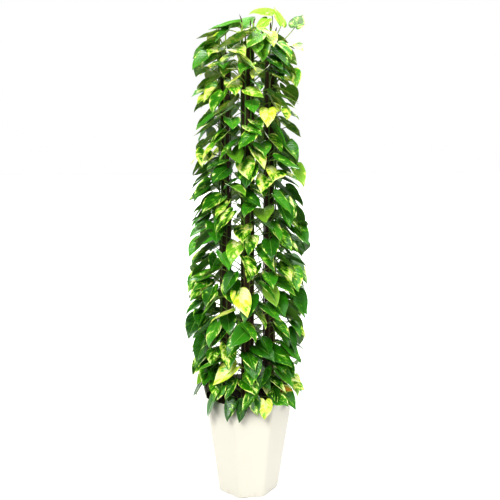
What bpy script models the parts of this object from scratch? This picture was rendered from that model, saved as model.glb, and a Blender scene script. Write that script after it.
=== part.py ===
"""A tall potted pothos: three fibre poles in an eight-sided planter, each carrying six climbing vines.

Frame: +Z up, the origin at the middle of the planter's foot, a flat planter side square to -Y. Metres.
Every vine is one grown piece: its stem, leaf stalks and blades are one closed mesh.
"""

import math
import random

import bpy
from mathutils import Matrix, Vector
from mathutils.bvhtree import BVHTree

# Planter
POT_HEIGHT = 0.405
POT_RIM_RADIUS = 0.188           # to a corner
POT_FOOT_RADIUS = 0.128          # to a corner
POT_SIDES = 8
POT_WALL = 0.006
POT_FLOOR = 0.010
POT_CHAMFER = 0.0015
DRAIN_HOLES = 4
DRAIN_RADIUS = 0.008
DRAIN_CIRCLE = 0.055
NET_RADIUS = 0.072
NET_THICKNESS = 0.0015
SOIL_TOP = 0.370
SOIL_MOUND = 0.005
GAP = 0.0003                     # between pieces that touch

# Poles and their ties
POLE_RADIUS = 0.019
POLE_SIDES = 12
POLE_CIRCLE = 0.100              # pole axis from the plant's axis
POLE_FOOT = 0.150                # how low the poles reach into the soil
POLES = {"a": (-97.5, 1.735), "b": (22.5, 1.700), "c": (142.5, 1.720)}   # azimuth in degrees, top
TIE_WIRE = 0.0011
TIE_HEIGHTS = (0.50, 0.93, 1.37)
TIE_SEGMENTS = 20

# Vines
VINES_PER_POLE = 6
STEM_SPREAD = 50.0               # degrees between neighbouring stems round a pole
SECTOR = 360.0 / (VINES_PER_POLE * len(POLES))
STEM_FOOT = 0.350
STEM_WIDTH = 0.0070
STEM_DEPTH = 0.0064
STEM_CLEARANCE = 0.0007
STEM_SWAY = 7.0                  # degrees round the pole
NODE_HEIGHT = 0.014              # length of stem that a leaf stalk grows from
NODE_SPACING = 0.022             # least distance between two leaf stalks on one stem
LEAF_PITCH = 0.0595
FIRST_LEAF = 0.432
LAST_LEAF = 1.785
NECK_RADIUS = 0.0017             # where a stalk meets its blade
BLADE_WIDE_AT = 0.29             # share of the blade's length
BLADE_LATE_AT = 0.66
BLADE_LATE_WIDTH = 0.66          # share of the full width
BLADE_KEEL = 0.0042
LEAF_CLEARANCE = 0.0014          # kept round each new leaf
LEAF_REACH = 0.40                # leaves whose middles are further apart can't meet
TRIES = 140

# Height -> distance of the leaf tips from the axis, and height -> usual blade length
OUTLINE = ((0.40, 0.208), (0.60, 0.236), (0.80, 0.248), (1.20, 0.231), (1.50, 0.204), (1.72, 0.196), (1.84, 0.150))
BLADE_LENGTHS = ((0.40, 0.100), (0.90, 0.103), (1.40, 0.097), (1.80, 0.090))

# Leaves with a place of their own: neck (azimuth, radius, height), tip (the same), blade width, roll
SHOOT_LEAVES = (        # the pale young shoot that leans out over the top
    ((-13.8, 0.091, 1.842), (-90.0, 0.030, 1.851), 0.052, -28),
    ((-14.4, 0.124, 1.806), (3.9, 0.101, 1.876), 0.050, 0),
    ((-17.4, 0.175, 1.798), (0.7, 0.209, 1.853), 0.058, 25),
    ((-30.1, 0.078, 1.824), (-75.1, 0.076, 1.765), 0.046, -20),
)
TOP_LEAVES = (
    ((-120.7, 0.087, 1.790), (-161.3, 0.159, 1.786), 0.066, -30),
    ((-120.1, 0.065, 1.796), (-44.6, 0.033, 1.832), 0.054, 20),
    ((-78.3, 0.127, 1.747), (-104.2, 0.166, 1.697), 0.056, -15),
    ((-85.7, 0.061, 1.762), (-132.6, 0.110, 1.735), 0.056, -5),
    ((-108.1, 0.132, 1.691), (-129.4, 0.194, 1.661), 0.064, -25),
    ((-108.5, 0.138, 1.635), (-118.7, 0.198, 1.633), 0.050, -25),
    ((-77.2, 0.107, 1.726), (-77.3, 0.160, 1.665), 0.070, 5),
    ((-54.2, 0.124, 1.709), (-45.4, 0.195, 1.642), 0.072, 20),
    ((-56.7, 0.145, 1.649), (-48.0, 0.200, 1.614), 0.060, 20),
    ((-174.6, 0.134, 1.733), (-173.5, 0.206, 1.686), 0.064, -25),
    ((-160.5, 0.154, 1.697), (-160.9, 0.224, 1.641), 0.064, -25),
    ((60.0, 0.080, 1.800), (85.0, 0.150, 1.812), 0.066, 10),
    ((115.0, 0.070, 1.788), (150.0, 0.140, 1.806), 0.066, -5),
    ((160.0, 0.110, 1.782), (172.0, 0.190, 1.764), 0.068, 0),
)
LOW_LEAVES = (          # over the planter's rim and just above it
    ((-102.5, 0.178, 0.432), (-106.4, 0.204, 0.353), 0.044, 0),
    ((-90.8, 0.180, 0.448), (-87.7, 0.212, 0.385), 0.052, 0),
    ((-76.6, 0.186, 0.430), (-80.8, 0.216, 0.369), 0.060, 5),
    ((-63.7, 0.181, 0.432), (-56.7, 0.240, 0.417), 0.062, 25),
    ((-129.7, 0.177, 0.479), (-136.5, 0.212, 0.416), 0.052, -15),
    ((-46.0, 0.161, 0.445), (-46.5, 0.222, 0.457), 0.040, 20),
    ((-14.2, 0.171, 0.447), (-17.4, 0.232, 0.418), 0.062, 20),
    ((-92.8, 0.161, 0.596), (-88.8, 0.207, 0.519), 0.070, 5),
    ((-148.1, 0.173, 0.536), (-128.6, 0.193, 0.466), 0.076, -10),
)

COLOURS = {
    "pot": ((0.86, 0.84, 0.76), 0.35),
    "soil": ((0.045, 0.030, 0.020), 0.95),
    "drain_net": ((0.03, 0.03, 0.03), 0.6),
    "pole": ((0.10, 0.060, 0.032), 0.95),
    "tie": ((0.10, 0.20, 0.06), 0.6),
    "vine": ((0.09, 0.26, 0.035), 0.35),
}


# ---------------------------------------------------------------- small helpers

def material(name):
    """One Principled material of the part's own colour and roughness."""
    colour, roughness = COLOURS[name]
    made = bpy.data.materials.get(name) or bpy.data.materials.new(name)
    made.use_nodes = True
    shader = made.node_tree.nodes["Principled BSDF"]
    shader.inputs["Base Color"].default_value = (*colour, 1.0)
    shader.inputs["Roughness"].default_value = roughness
    shader.inputs["Metallic"].default_value = 0.0
    return made


def add_object(name, vertices, faces, look):
    """A mesh object from vertices and faces."""
    mesh = bpy.data.meshes.new(name)
    mesh.from_pydata([tuple(v) for v in vertices], [], faces)
    mesh.update()
    made = bpy.data.objects.new(name, mesh)
    bpy.context.scene.collection.objects.link(made)
    mesh.materials.append(material(look))
    return made


def polar(azimuth, radius, height):
    """The point at an azimuth in degrees, a distance from the axis and a height."""
    a = math.radians(azimuth)
    return Vector((radius * math.cos(a), radius * math.sin(a), height))


def between(table, height):
    """Straight-line reading of a height -> value table."""
    low = table[0]
    for high in table[1:]:
        if height <= high[0]:
            share = max(0.0, (height - low[0]) / (high[0] - low[0]))
            return low[1] + share * (high[1] - low[1])
        low = high
    return low[1]


def lathe(profile, sides, centre=(0.0, 0.0), turn=0.0):
    """Vertices and faces of a profile of (radius, height) turned round a vertical axis. Radius 0 is a pole."""
    vertices, rings, faces = [], [], []
    for radius, height in profile:
        if radius == 0:
            rings.append([len(vertices)] * sides)
            vertices.append(Vector((centre[0], centre[1], height)))
            continue
        rings.append(list(range(len(vertices), len(vertices) + sides)))
        for i in range(sides):
            a = turn + 2 * math.pi * i / sides
            vertices.append(Vector((centre[0] + radius * math.cos(a), centre[1] + radius * math.sin(a), height)))
    for low, high in zip(rings, rings[1:]):
        for i in range(sides):
            j = (i + 1) % sides
            corners = [low[i], low[j], high[j], high[i]]
            face = [c for n, c in enumerate(corners) if c not in corners[:n]]
            faces.append(face)
    return vertices, faces


def join_shapes(shapes):
    """One vertex list and one face list from several."""
    vertices, faces = [], []
    for more_vertices, more_faces in shapes:
        start = len(vertices)
        vertices.extend(more_vertices)
        faces.extend([[start + i for i in face] for face in more_faces])
    return vertices, faces


def cut_with(target, name, shapes):
    """Cuts closed shapes out of an object with a Boolean."""
    vertices, faces = join_shapes(shapes)
    cutter = add_object(name, vertices, faces, "soil")
    cutter.hide_render = True
    cutter.display_type = "WIRE"
    boolean = target.modifiers.new(name, "BOOLEAN")
    boolean.operation = "DIFFERENCE"
    boolean.object = cutter


def tree(vertices, faces):
    """A search tree that tells which shapes cut each other."""
    return BVHTree.FromPolygons([tuple(v) for v in vertices], faces)


# ---------------------------------------------------------------- planter, net and soil

CORNER = math.pi / POT_SIDES                 # corners lie half a side off the axes
FLAT_SHARE = math.cos(math.pi / POT_SIDES)   # distance to a flat, as a share of that to a corner


def pot_radius(height):
    """Outer corner radius of the planter at a height."""
    return POT_FOOT_RADIUS + (POT_RIM_RADIUS - POT_FOOT_RADIUS) * height / POT_HEIGHT


def inner_radius(height):
    """Inner corner radius of the planter at a height."""
    return pot_radius(height) - POT_WALL / FLAT_SHARE


def make_pot():
    top, c = POT_HEIGHT, POT_CHAMFER
    profile = [
        (0, 0),
        (POT_FOOT_RADIUS - c, 0),
        (pot_radius(c), c),
        (pot_radius(top - c), top - c),
        (POT_RIM_RADIUS - c, top),
        (inner_radius(top) + c, top),
        (inner_radius(top - c), top - c),
        (inner_radius(POT_FLOOR), POT_FLOOR),
        (0, POT_FLOOR),
    ]
    vertices, faces = lathe(profile, POT_SIDES, turn=CORNER)
    pot = add_object("pot", vertices, faces, "pot")
    holes = []
    for i in range(DRAIN_HOLES):
        place = polar(45 + 360 * i / DRAIN_HOLES, DRAIN_CIRCLE, 0)
        profile = [(0, -0.01), (DRAIN_RADIUS, -0.01), (DRAIN_RADIUS, POT_FLOOR + 0.01), (0, POT_FLOOR + 0.01)]
        holes.append(lathe(profile, 12, centre=place[:2]))
    cut_with(pot, "drain_cutter", holes)
    return vertices, faces


def make_drain_net():
    low = POT_FLOOR + GAP
    profile = [(0, low), (NET_RADIUS, low), (NET_RADIUS, low + NET_THICKNESS), (0, low + NET_THICKNESS)]
    add_object("drain_net", *lathe(profile, 24), "drain_net")


def make_soil(stems):
    """Soil that fills the planter, with a socket for each pole and stem."""
    low = POT_FLOOR + NET_THICKNESS + 2 * GAP
    profile = [
        (0, low),
        (inner_radius(low) - GAP, low),
        (inner_radius(SOIL_TOP) - GAP, SOIL_TOP),
        (POLE_CIRCLE - 0.04, SOIL_TOP + SOIL_MOUND),
        (0, SOIL_TOP + SOIL_MOUND),
    ]
    vertices, faces = lathe(profile, POT_SIDES, turn=CORNER)
    soil = add_object("soil", vertices, faces, "soil")
    above = SOIL_TOP + 0.03
    sockets = []
    for azimuth, _ in POLES.values():
        place = polar(azimuth, POLE_CIRCLE, 0)
        wide = POLE_RADIUS + GAP
        foot = POLE_FOOT - GAP
        profile = [(0, foot), (wide, foot), (wide, above), (0, above)]
        sockets.append(lathe(profile, POLE_SIDES, centre=place[:2]))
    cut_with(soil, "pole_sockets", sockets)
    sockets = []
    for ring in stems:
        middle = sum(ring, Vector()) / 3
        foot = STEM_FOOT - GAP
        base = [middle + (corner - middle) * 1.2 for corner in ring]
        bottom = [Vector((p.x, p.y, foot)) for p in base]
        top = [Vector((p.x, p.y, above)) for p in base]
        sockets.append((bottom + top, [(2, 1, 0), (3, 4, 5), (0, 1, 4, 3), (1, 2, 5, 4), (2, 0, 3, 5)]))
    cut_with(soil, "stem_sockets", sockets)
    return vertices, faces


# ---------------------------------------------------------------- poles and ties

def make_pole(letter):
    azimuth, top = POLES[letter]
    place = polar(azimuth, POLE_CIRCLE, 0)
    tip = POLE_RADIUS - 0.003
    profile = [(0, POLE_FOOT), (POLE_RADIUS, POLE_FOOT), (POLE_RADIUS, top - 0.003), (tip, top), (0, top)]
    shape = lathe(profile, POLE_SIDES, centre=place[:2])
    add_object("fibre_pole_" + letter, *shape, "pole")
    return shape


def make_tie(name, letter, height):
    """A wire ring round a pole and its stems, leaning a little."""
    place = polar(POLES[letter][0], POLE_CIRCLE, height)
    ring = POLE_RADIUS + STEM_CLEARANCE + STEM_DEPTH + TIE_WIRE + 2 * GAP
    vertices, faces = [], []
    for i in range(TIE_SEGMENTS):
        a = 2 * math.pi * i / TIE_SEGMENTS
        out = Vector((math.cos(a), math.sin(a), 0))
        centre = place + out * ring / math.cos(math.pi / TIE_SEGMENTS)
        for k in range(3):
            b = 2 * math.pi * k / 3
            vertices.append(centre + TIE_WIRE * (out * math.cos(b) + Vector((0, 0, math.sin(b)))))
    for i in range(TIE_SEGMENTS):
        j = (i + 1) % TIE_SEGMENTS
        for k in range(3):
            m = (k + 1) % 3
            faces.append([3 * i + k, 3 * j + k, 3 * j + m, 3 * i + m])
    add_object(name, vertices, faces, "tie")
    return vertices, faces


# ---------------------------------------------------------------- vines: stems

class Vine:
    """Where one vine stands and how its stem climbs."""

    def __init__(self, letter, number):
        self.name = f"vine_{letter}{number + 1}"
        azimuth = POLES[letter][0]
        place = number - (VINES_PER_POLE - 1) / 2
        self.pole = polar(azimuth, POLE_CIRCLE, 0)
        self.angle = azimuth + place * STEM_SPREAD       # of the stem round its pole
        self.sector = azimuth + place * SECTOR           # azimuth its leaves cover
        self.phase = 2 * math.pi * number / VINES_PER_POLE
        self.row_shift = 0.5 * (number % 2)
        self.leaves = []

    def corners(self, height):
        """The stem's back left, front and back right corner at a height."""
        climb = max(0.0, height - SOIL_TOP)
        sway = STEM_SWAY * math.sin(4.5 * climb + self.phase) * min(1.0, climb / 0.1)
        a = math.radians(self.angle + sway)
        out = Vector((math.cos(a), math.sin(a), 0))
        side = Vector((-math.sin(a), math.cos(a), 0))
        foot = self.pole + out * (POLE_RADIUS + STEM_CLEARANCE) + Vector((0, 0, height))
        half = side * STEM_WIDTH / 2
        return [foot - half, foot + out * STEM_DEPTH, foot + half]

    def middle(self, height):
        return sum(self.corners(height), Vector()) / 3

    def bare_stem(self, top):
        """The stem without leaves, to keep other vines clear of it."""
        steps = 40
        vertices, faces = [], []
        for i in range(steps + 1):
            vertices.extend(self.corners(STEM_FOOT + (top - STEM_FOOT) * i / steps))
        for i in range(steps):
            for k in range(3):
                m = (k + 1) % 3
                faces.append([3 * i + k, 3 * i + m, 3 * i + 3 + m, 3 * i + 3 + k])
        return vertices, faces


# ---------------------------------------------------------------- vines: leaves

class Leaf:
    """A blade on its stalk. neck is where the stalk meets the blade, which bends down towards its tip."""

    def __init__(self, neck, heading, droop, bend, length, width, roll):
        self.neck = neck
        self.heading = heading       # azimuth of the blade, degrees
        self.droop = droop           # below the level, degrees, halfway along
        self.bend = bend             # how much more it droops at the tip than at the neck
        self.length = length
        self.width = width
        self.roll = roll
        self.height = None           # of the node on the stem
        self.right_side = True

    def frame(self, share):
        """Direction, right side and upward normal of the blade at a share of its length."""
        droop = math.radians(self.droop + self.bend * (share - 0.5))
        a = math.radians(self.heading)
        level = Vector((math.cos(a), math.sin(a), 0))
        ahead = level * math.cos(droop) - Vector((0, 0, math.sin(droop)))
        right = Vector((math.sin(a), -math.cos(a), 0))
        right.rotate(Matrix.Rotation(math.radians(self.roll), 3, ahead))
        return ahead, right, right.cross(ahead)

    def midrib(self, share):
        """A point of the midrib at a share of its length."""
        steps = 6
        point = self.neck.copy()
        for i in range(steps):
            point += self.frame(share * (i + 0.5) / steps)[0] * (self.length * share / steps)
        return point

    def ring(self, share, half, keel, lift):
        """Keel, left and right point of the blade's cross-section."""
        _, right, up = self.frame(share)
        point = self.midrib(share)
        return [point - up * keel, point - right * half + up * lift, point + right * half + up * lift]

    def rings(self, spare=0.0, lift=0.0):
        """Cross-sections from the neck on, and the tip. For clearance tests spare thickens and lift raises them."""
        wide = self.width / 2 + abs(spare)
        neck = self.ring(0.0, NECK_RADIUS + spare / 3, NECK_RADIUS + spare / 3, lift / 3)
        full = self.ring(BLADE_WIDE_AT, wide, BLADE_KEEL + spare, lift)
        late = self.ring(BLADE_LATE_AT, wide * BLADE_LATE_WIDTH, BLADE_KEEL * 0.8 + spare, lift)
        tip = self.midrib(1.0 + spare / self.length)
        return [neck, full, late], tip


def leaf_to(neck, tip, width, roll, bend=24.0):
    """The leaf that reaches from a neck to a tip."""
    run = tip - neck
    level = math.hypot(run.x, run.y)
    droop = math.degrees(math.atan2(-run.z, level))
    heading = math.degrees(math.atan2(run.y, run.x))
    return Leaf(neck, heading, droop, bend, run.length * 1.01, width, roll)


def stalk_base(vine, leaf):
    """The stem triangle that the stalk grows from, in order round the stalk, seen from its blade."""
    low = vine.corners(leaf.height - NODE_HEIGHT / 2)
    high = vine.corners(leaf.height + NODE_HEIGHT / 2)
    side = 1 if leaf.right_side else 0
    return [low[side], low[side + 1], high[side]]


def stalk_turn(base, leaf):
    """How many corners the base is turned so that the stalk runs straightest to its neck."""
    neck = leaf.rings()[0][0]
    return min(range(3), key=lambda turn: sum((neck[(i + turn) % 3] - base[i]).length for i in range(3)))


def leaf_shape(vine, leaf, spare=0.0, lift=0.0):
    """Vertices and faces of a stalk with its blade, for clearance tests."""
    rings, tip = leaf.rings(spare, lift)
    base = stalk_base(vine, leaf)
    turn = stalk_turn(base, leaf)
    vertices = [base[(i - turn) % 3] for i in range(3)]
    for ring in rings:
        vertices.extend(ring)
    vertices.append(tip)
    return vertices, blade_faces([0, 1, 2], 3, len(rings))


def blade_faces(first, start, count):
    """Faces that join a first ring to count rings numbered from start, and the last of them to the tip."""
    faces = []
    last = first
    for i in range(count):
        ring = [start + 3 * i + k for k in range(3)]
        for k in range(3):
            m = (k + 1) % 3
            faces.append([last[k], last[m], ring[m]])
            faces.append([last[k], ring[m], ring[k]])
        last = ring
    tip = start + 3 * count
    for k in range(3):
        faces.append([last[k], last[(k + 1) % 3], tip])
    return faces


# ---------------------------------------------------------------- vines: layout

class Layout:
    """Gives every leaf a place where it touches no other piece."""

    def __init__(self, vines, solids):
        self.chance = random.Random(20)
        self.vines = vines
        self.solids = tree(*join_shapes(solids))
        self.stems = {vine.name: tree(*vine.bare_stem(1.83)) for vine in vines}
        self.placed = []

    def fits(self, vine, leaf):
        nodes = [other.height for other in vine.leaves]
        if leaf.height < SOIL_TOP + 0.02 or leaf.height > LAST_LEAF + 0.02:
            return False
        if any(abs(leaf.height - height) < NODE_SPACING for height in nodes):
            return False
        lifts = (LEAF_CLEARANCE, 0.0, -LEAF_CLEARANCE)
        shapes = [leaf_shape(vine, leaf, LEAF_CLEARANCE, lift) for lift in lifts]
        bodies = [tree(*shape) for shape in shapes]
        fixed = [self.solids] + [stem for name, stem in self.stems.items() if name != vine.name]
        if any(body.overlap(other) for body in bodies for other in fixed):
            return False
        blade = tree(shapes[0][0][3:], blade_faces([0, 1, 2], 3, 2))
        if blade.overlap(self.stems[vine.name]):
            return False
        middle = leaf.midrib(0.4)
        near = [other for place, other in self.placed if (place - middle).length < LEAF_REACH]
        if any(body.overlap(other) for body in bodies for other in near):
            return False
        self.placed.append((middle, tree(*leaf_shape(vine, leaf))))
        vine.leaves.append(leaf)
        return True

    def hang(self, vine, leaf, rise):
        """Sets the node on the stem from how much the stalk rises over its run."""
        foot = vine.middle(leaf.neck.z)
        run = math.hypot(leaf.neck.x - foot.x, leaf.neck.y - foot.y)
        leaf.height = min(leaf.neck.z - rise * run, LAST_LEAF)
        out = math.radians(vine.angle)
        towards = leaf.neck - foot
        leaf.right_side = -math.sin(out) * towards.x + math.cos(out) * towards.y > 0

    def place_chosen(self, chosen, usual_rise):
        """A leaf with a place of its own grows from a near vine. Each new try may move it a little further."""
        chance = self.chance
        for neck, tip, width, roll in chosen:
            for attempt in range(TRIES):
                stray = 0.030 * attempt / TRIES
                shifts = [Vector([chance.uniform(-stray, stray) for _ in range(3)]) for _ in range(2)]
                leaf = leaf_to(polar(*neck) + shifts[0] / 2, polar(*tip) + shifts[1], width, roll)
                nearest = sorted(self.vines, key=lambda v: (v.middle(leaf.neck.z) - leaf.neck).length)
                vine = nearest[attempt % 4]
                self.hang(vine, leaf, usual_rise * chance.uniform(0.4, 1.3))
                if self.fits(vine, leaf):
                    break
            else:
                print("no place for the chosen leaf at", neck)

    def place_usual(self, vine, height, side):
        """One leaf of the vine's regular rows. Each new try wanders further from the ideal place."""
        chance = self.chance
        for attempt in range(TRIES):
            stray = attempt / TRIES
            length = between(BLADE_LENGTHS, height) * chance.uniform(0.82, 1.16) * (1 - 0.30 * stray)
            width = length * chance.uniform(0.66, 0.76)
            droop = chance.uniform(18, 54) + 14 * stray * chance.uniform(-1, 1)
            azimuth = vine.sector + side * 4.5 + chance.gauss(0, 3 + 8 * stray)
            yaw = side * chance.uniform(0, 62) + chance.gauss(0, 10 + 22 * stray)
            neck_height = height + chance.gauss(0, 0.006 + 0.022 * stray)
            tip_reach = between(OUTLINE, neck_height) * (1 - chance.uniform(0.0, 0.10 + 0.12 * stray))
            if height < FIRST_LEAF + LEAF_PITCH:
                droop += 14
                tip_reach += 0.012
            reach = length * math.cos(math.radians(droop)) * math.cos(math.radians(yaw))
            neck = polar(azimuth, tip_reach - reach, neck_height)
            leaf = Leaf(neck, azimuth + yaw, droop, chance.uniform(16, 42), length, width, chance.gauss(0, 14))
            self.hang(vine, leaf, chance.uniform(0.25, 0.75))
            if self.fits(vine, leaf):
                return True
        return False

    def place_rows(self):
        """Rows of leaves from the rim to the top, every second vine half a row higher."""
        rows = int((LAST_LEAF - FIRST_LEAF) / LEAF_PITCH) + 1
        missed = 0
        for row in range(rows):
            for vine in self.vines:
                height = FIRST_LEAF + (row + vine.row_shift) * LEAF_PITCH
                side = 1 if row % 2 else -1
                missed += not self.place_usual(vine, height, side)
        print("leaves", sum(len(vine.leaves) for vine in self.vines), "left out", missed)


# ---------------------------------------------------------------- vines: meshes

def make_vine(vine):
    """The stem, its stalks and its blades as one closed mesh."""
    vertices, faces = [], []

    def add(points):
        vertices.extend(points)
        return list(range(len(vertices) - len(points), len(vertices)))

    def wall(low, high, skip=None):
        for k in range(3):
            m = (k + 1) % 3
            pair = [[low[k], low[m], high[k]], [low[m], high[m], high[k]]]
            faces.extend(pair[1:] if k == skip else pair)

    below = add(vine.corners(STEM_FOOT))
    faces.append([below[2], below[1], below[0]])
    above = add(vine.corners(SOIL_TOP + SOIL_MOUND))
    wall(below, above)
    below = above
    for leaf in sorted(vine.leaves, key=lambda one: one.height):
        low = add(vine.corners(leaf.height - NODE_HEIGHT / 2))
        high = add(vine.corners(leaf.height + NODE_HEIGHT / 2))
        wall(below, low)
        side = 1 if leaf.right_side else 0
        wall(low, high, skip=side)
        base = [low[side], low[side + 1], high[side]]
        rings, tip = leaf.rings()
        turn = stalk_turn([vertices[i] for i in base], leaf)
        base = [base[(i - turn) % 3] for i in range(3)]
        start = len(vertices)
        for ring in rings:
            add(ring)
        add([tip])
        faces.extend(blade_faces(base, start, len(rings)))
        below = high
    top = add(vine.corners(max(leaf.height for leaf in vine.leaves) + NODE_HEIGHT * 1.5))
    wall(below, top)
    faces.append(top)
    add_object(vine.name, vertices, faces, "vine")


def main():
    for old in list(bpy.data.objects):
        bpy.data.objects.remove(old)
    vines = [Vine(letter, number) for letter in POLES for number in range(VINES_PER_POLE)]
    solids = [make_pot(), make_soil([vine.corners(STEM_FOOT) for vine in vines])]
    make_drain_net()
    solids.extend(make_pole(letter) for letter in POLES)
    for letter in POLES:
        for i, height in enumerate(TIE_HEIGHTS):
            height += 0.03 * (ord(letter) - ord("b"))
            solids.append(make_tie(f"tie_{letter}{i + 1}", letter, height))
    layout = Layout(vines, solids)
    layout.place_chosen(SHOOT_LEAVES, 0.9)
    layout.place_chosen(TOP_LEAVES, 0.6)
    layout.place_chosen(LOW_LEAVES, 0.3)
    layout.place_rows()
    for vine in vines:
        make_vine(vine)


main()
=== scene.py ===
"""The looks of a tall potted pothos: its planter, soil, fibre poles, ties and leafy vines.

Every leaf stands where the frame's vine solids put it. A solid's few-sided blade is read back as a neck,
a midrib and a width, and a fine leaf is grown on them. Metres, +Z up, as in the frame.
"""

import math
import random

import bmesh
import bpy
import numpy as np
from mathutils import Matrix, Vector


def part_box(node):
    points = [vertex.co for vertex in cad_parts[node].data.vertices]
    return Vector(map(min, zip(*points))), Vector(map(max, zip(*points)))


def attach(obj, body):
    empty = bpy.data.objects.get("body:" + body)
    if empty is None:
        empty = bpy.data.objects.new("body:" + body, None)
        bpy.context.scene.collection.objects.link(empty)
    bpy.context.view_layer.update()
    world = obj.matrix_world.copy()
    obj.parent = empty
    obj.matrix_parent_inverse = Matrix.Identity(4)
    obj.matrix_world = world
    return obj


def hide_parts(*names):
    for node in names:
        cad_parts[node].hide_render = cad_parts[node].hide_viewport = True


LEAF_MAP = "leaf"                # UV map with a leaf's own coordinates: across 0..1, along 0..1
UP = np.array((0, 0, 1))
BAKE_MAP = "OFBake"              # UV map where every face has a place of its own

# Reading the vine solids
MERGE = 2e-5                     # corners of one point lie this close
LEAST_TIP = 0.012                # a blade's tip is further than this from the ring before it
RING_SHARES = (0.0, 0.29, 0.66, 1.0)   # where the neck, the two rings and the tip lie along the midrib

# Blades: places across (as a share of the half width) and along, and the half width there
COLUMNS = np.array((-1, -0.9, -0.72, -0.5, -0.3, -0.13, -0.05, 0, 0.05, 0.13, 0.3, 0.5, 0.72, 0.9, 1))
ROWS = np.array((0, 0.035, 0.09, 0.16, 0.24, 0.33, 0.42, 0.51, 0.60, 0.69, 0.77, 0.84, 0.90, 0.95, 0.985))
ROW_WIDTHS = np.array((0.66, 0.80, 0.91, 0.98, 1, 0.98, 0.925, 0.835, 0.715, 0.565, 0.415, 0.28, 0.17, 0.085,
                       0.03))
LOBE = 0.12                      # how far the base lobes reach behind the neck, as a share of the length
BLADE = 0.0005                   # thickness
ROLL = 17                        # a blade turns about its midrib by up to this many degrees
FOLD = (4, 46, 20)               # least, most and usual rise of a blade's halves in degrees
MIDRIB_SINK = 0.0034             # the midrib lies this far under the line between the margins
GROOVE = 0.0005
RIB = 0.0011

# Stems and stalks
STEM_RADIUS = 0.0031
STEM_OUT = 0.0011                # from the solid's centre line to the round stem's
STEM_STEP = 0.009
STALK_RADII = (0.0024, 0.0013)   # at the stem and at the blade
STALK_RINGS = 11
SPEAR_RADII = np.array((2.4, 2.9, 3.1, 2.9, 2.4, 1.7, 0.9, 0.2)) / 1000 * 0.8
ROOTLET_RADII = np.array((0.95, 0.85, 0.75, 0.6, 0.3)) / 1000

# Poles
FIBRES = 420
POLE_STEP = 0.007
POLE_SIDES = 44
FIBRE_RADII = np.array((0.3, 0.55, 0.6, 0.5, 0.2)) / 1000
FIBRE_COLUMNS = 70               # fibres side by side in the bake map

# Ties
TIE_STEPS, TIE_SIDES = 72, 8
KNOT_RINGS = 22
KNOT_TURNS = 2.25
KNOT_DROP = 0.014

# Soil and net
CRUMBS = 1150
CRUMB_SIZES = (0.0016, 0.0050)
CRUMB_COLUMNS = 36               # crumbs side by side in the bake map
POLE_CLEARANCE = 0.0215          # crumbs lie further than this from a pole's axis
EDGE_CLEARANCE = 0.004           # and from the planter's wall
SOIL_MOUND = 0.005               # how much higher the soil is in the middle
NET_PITCH = 0.006
NET_STEP = 0.0025
NET_SHORTEST = 0.004             # half length of the shortest strand

# Planter
POT_CORNER = 0.026               # radius of the upright corners at the rim
POT_CORNER_STEPS = 8
POT_LIP = 0.0026
POT_FOOT_EDGE = 0.0035
POT_FLOOR_EDGE = 0.003
POT_FOOT_STEPS, POT_OUTER_ROWS, POT_LIP_STEPS, POT_INNER_ROWS = 5, 12, 8, 10
DRAIN_HOLES = 4
DRAIN_RADIUS = 0.008
DRAIN_CIRCLE = 0.055

# Bake map of a vine
MAP_COLUMNS, MAP_ROWS = 8, 7     # cells for blades
MAP_LOW = 0.14                   # share of the map for stalks and the stem
MAP_GAP = 0.06                   # share of a cell left free

# Light: suns by the side they shine from, with strength and width in degrees
SUNS = (
    ("key", (-0.50, -0.95, 1.00), 2.9, 22),
    ("right", (0.95, -0.70, 0.32), 2.8, 50),
    ("left", (-1.00, -0.20, 0.32), 1.8, 50),
    ("top", (0.20, 0.20, 1.00), 1.9, 45),
    ("back", (0.15, 1.00, 0.45), 2.2, 50),
)
AMBIENT = 0.08                   # strength of the surround as a light
FLOOR_REACH = 30.0
GAMMA = 0.83                     # under 1 for the photograph's deep shadows

# Camera
CAMERA_TURN, CAMERA_TILT = -7.5, 9.5   # degrees to the planter's left, and down
CAMERA_DISTANCE, CAMERA_HEIGHT = 2.30, 1.36
CAMERA_LENS = 43.2               # mm, on Blender's usual 36 mm sensor
CAMERA_SHIFT = 0.005

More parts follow.
